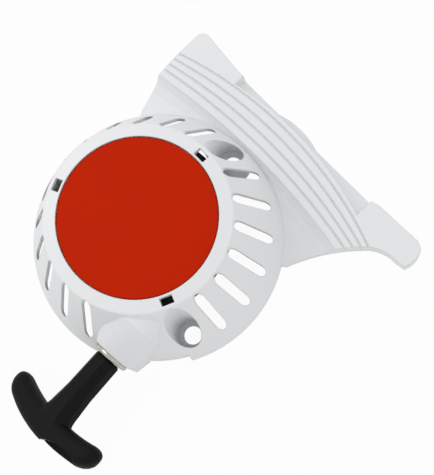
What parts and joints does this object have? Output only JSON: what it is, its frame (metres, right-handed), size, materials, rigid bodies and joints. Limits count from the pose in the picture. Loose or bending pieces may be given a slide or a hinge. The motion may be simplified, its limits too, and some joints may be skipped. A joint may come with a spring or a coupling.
{
  "type": "recoil starter",
  "caption": "Pull-rope recoil starter for a small two-stroke engine: vented cone housing with side shroud, red front cover, T-handle, rope drum, rewind spring and pawls.",
  "frame": {"origin": "on the drum axis, in the plane of the housing rim that bolts to the engine", "axes": "+Z out through the red front cover, +Y towards the side shroud, the rope leaves towards -Y"},
  "size_m": [0.1652, 0.2011, 0.06],
  "materials": {
    "white_shell": "satin light grey-white moulding",
    "red_cover": "satin orange-red",
    "black_grip": "fine-grained matt black",
    "drum_plastic": "black glass-filled nylon",
    "case_plastic": "dark grey nylon",
    "rope": "braided off-white cord",
    "nickel": "bright nickel",
    "zinc_steel": "zinc-plated",
    "spring_steel": "blued spring steel"
  },
  "bodies": {
    "root": {"housing": "white_shell", "front_cover": "red_cover", "spring_case": "case_plastic", "spring_cover": "case_plastic", "case_screws": "zinc_steel", "rewind_spring": "spring_steel", "guide_bush": "zinc_steel", "centre_washer": "zinc_steel", "centre_screw": "zinc_steel", "friction_spring": "spring_steel", "rope_ferrule": "nickel"},
    "drum": {"rope_drum": "drum_plastic", "rope_coil": "rope", "drum_knot": "rope", "pawl_pins": "zinc_steel"},
    "guide": {"pawl_guide": "zinc_steel"},
    "pawl_one": {"pawl_a": "zinc_steel"},
    "pawl_two": {"pawl_b": "zinc_steel"},
    "rope_end": {"rope_lead": "rope", "rope_washer": "zinc_steel", "handle_knot": "rope"},
    "handle": {"handle_grip": "black_grip"}
  },
  "joints": [
    {"name": "drum_spin", "type": "hinge", "parent": "root", "child": "drum", "pos_m": [0, 0, 0.022], "axis": [0, 0, -1], "range_deg": [0, 1688], "stiffness_Nm_per_rad": 0.014, "springref_deg": -1077.16, "deforming": ["rewind_spring"]},
    {"name": "handle_pull", "type": "slide", "parent": "root", "child": "rope_end", "axis": [0.0785, -0.9969, 0], "range_m": [0, 0.75], "deforming": ["rope_lead"]},
    {"name": "handle_twist", "type": "hinge", "parent": "rope_end", "child": "handle", "pos_m": [0.0318, -0.05759, 0.022], "axis": [0.0785, -0.9969, 0], "continuous": true},
    {"name": "guide_lag", "type": "hinge", "parent": "drum", "child": "guide", "pos_m": [0, 0, 0.0098], "axis": [0, 0, 1], "range_deg": [0, 12]},
    {"name": "pawl_a_swing", "type": "hinge", "parent": "drum", "child": "pawl_one", "pos_m": [0.026, 0, 0.0129], "axis": [0, 0, 1], "range_deg": [0, 30]},
    {"name": "pawl_b_swing", "type": "hinge", "parent": "drum", "child": "pawl_two", "pos_m": [-0.026, 0, 0.0129], "axis": [0, 0, 1], "range_deg": [0, 30]}
  ],
  "couplings": [
    {"joint": "handle_pull", "follows": "drum_spin", "m_per_rad": 0.02545},
    {"joint": "pawl_a_swing", "follows": "guide_lag", "ratio": 2.3333},
    {"joint": "pawl_b_swing", "follows": "guide_lag", "ratio": 2.3333}
  ]
}
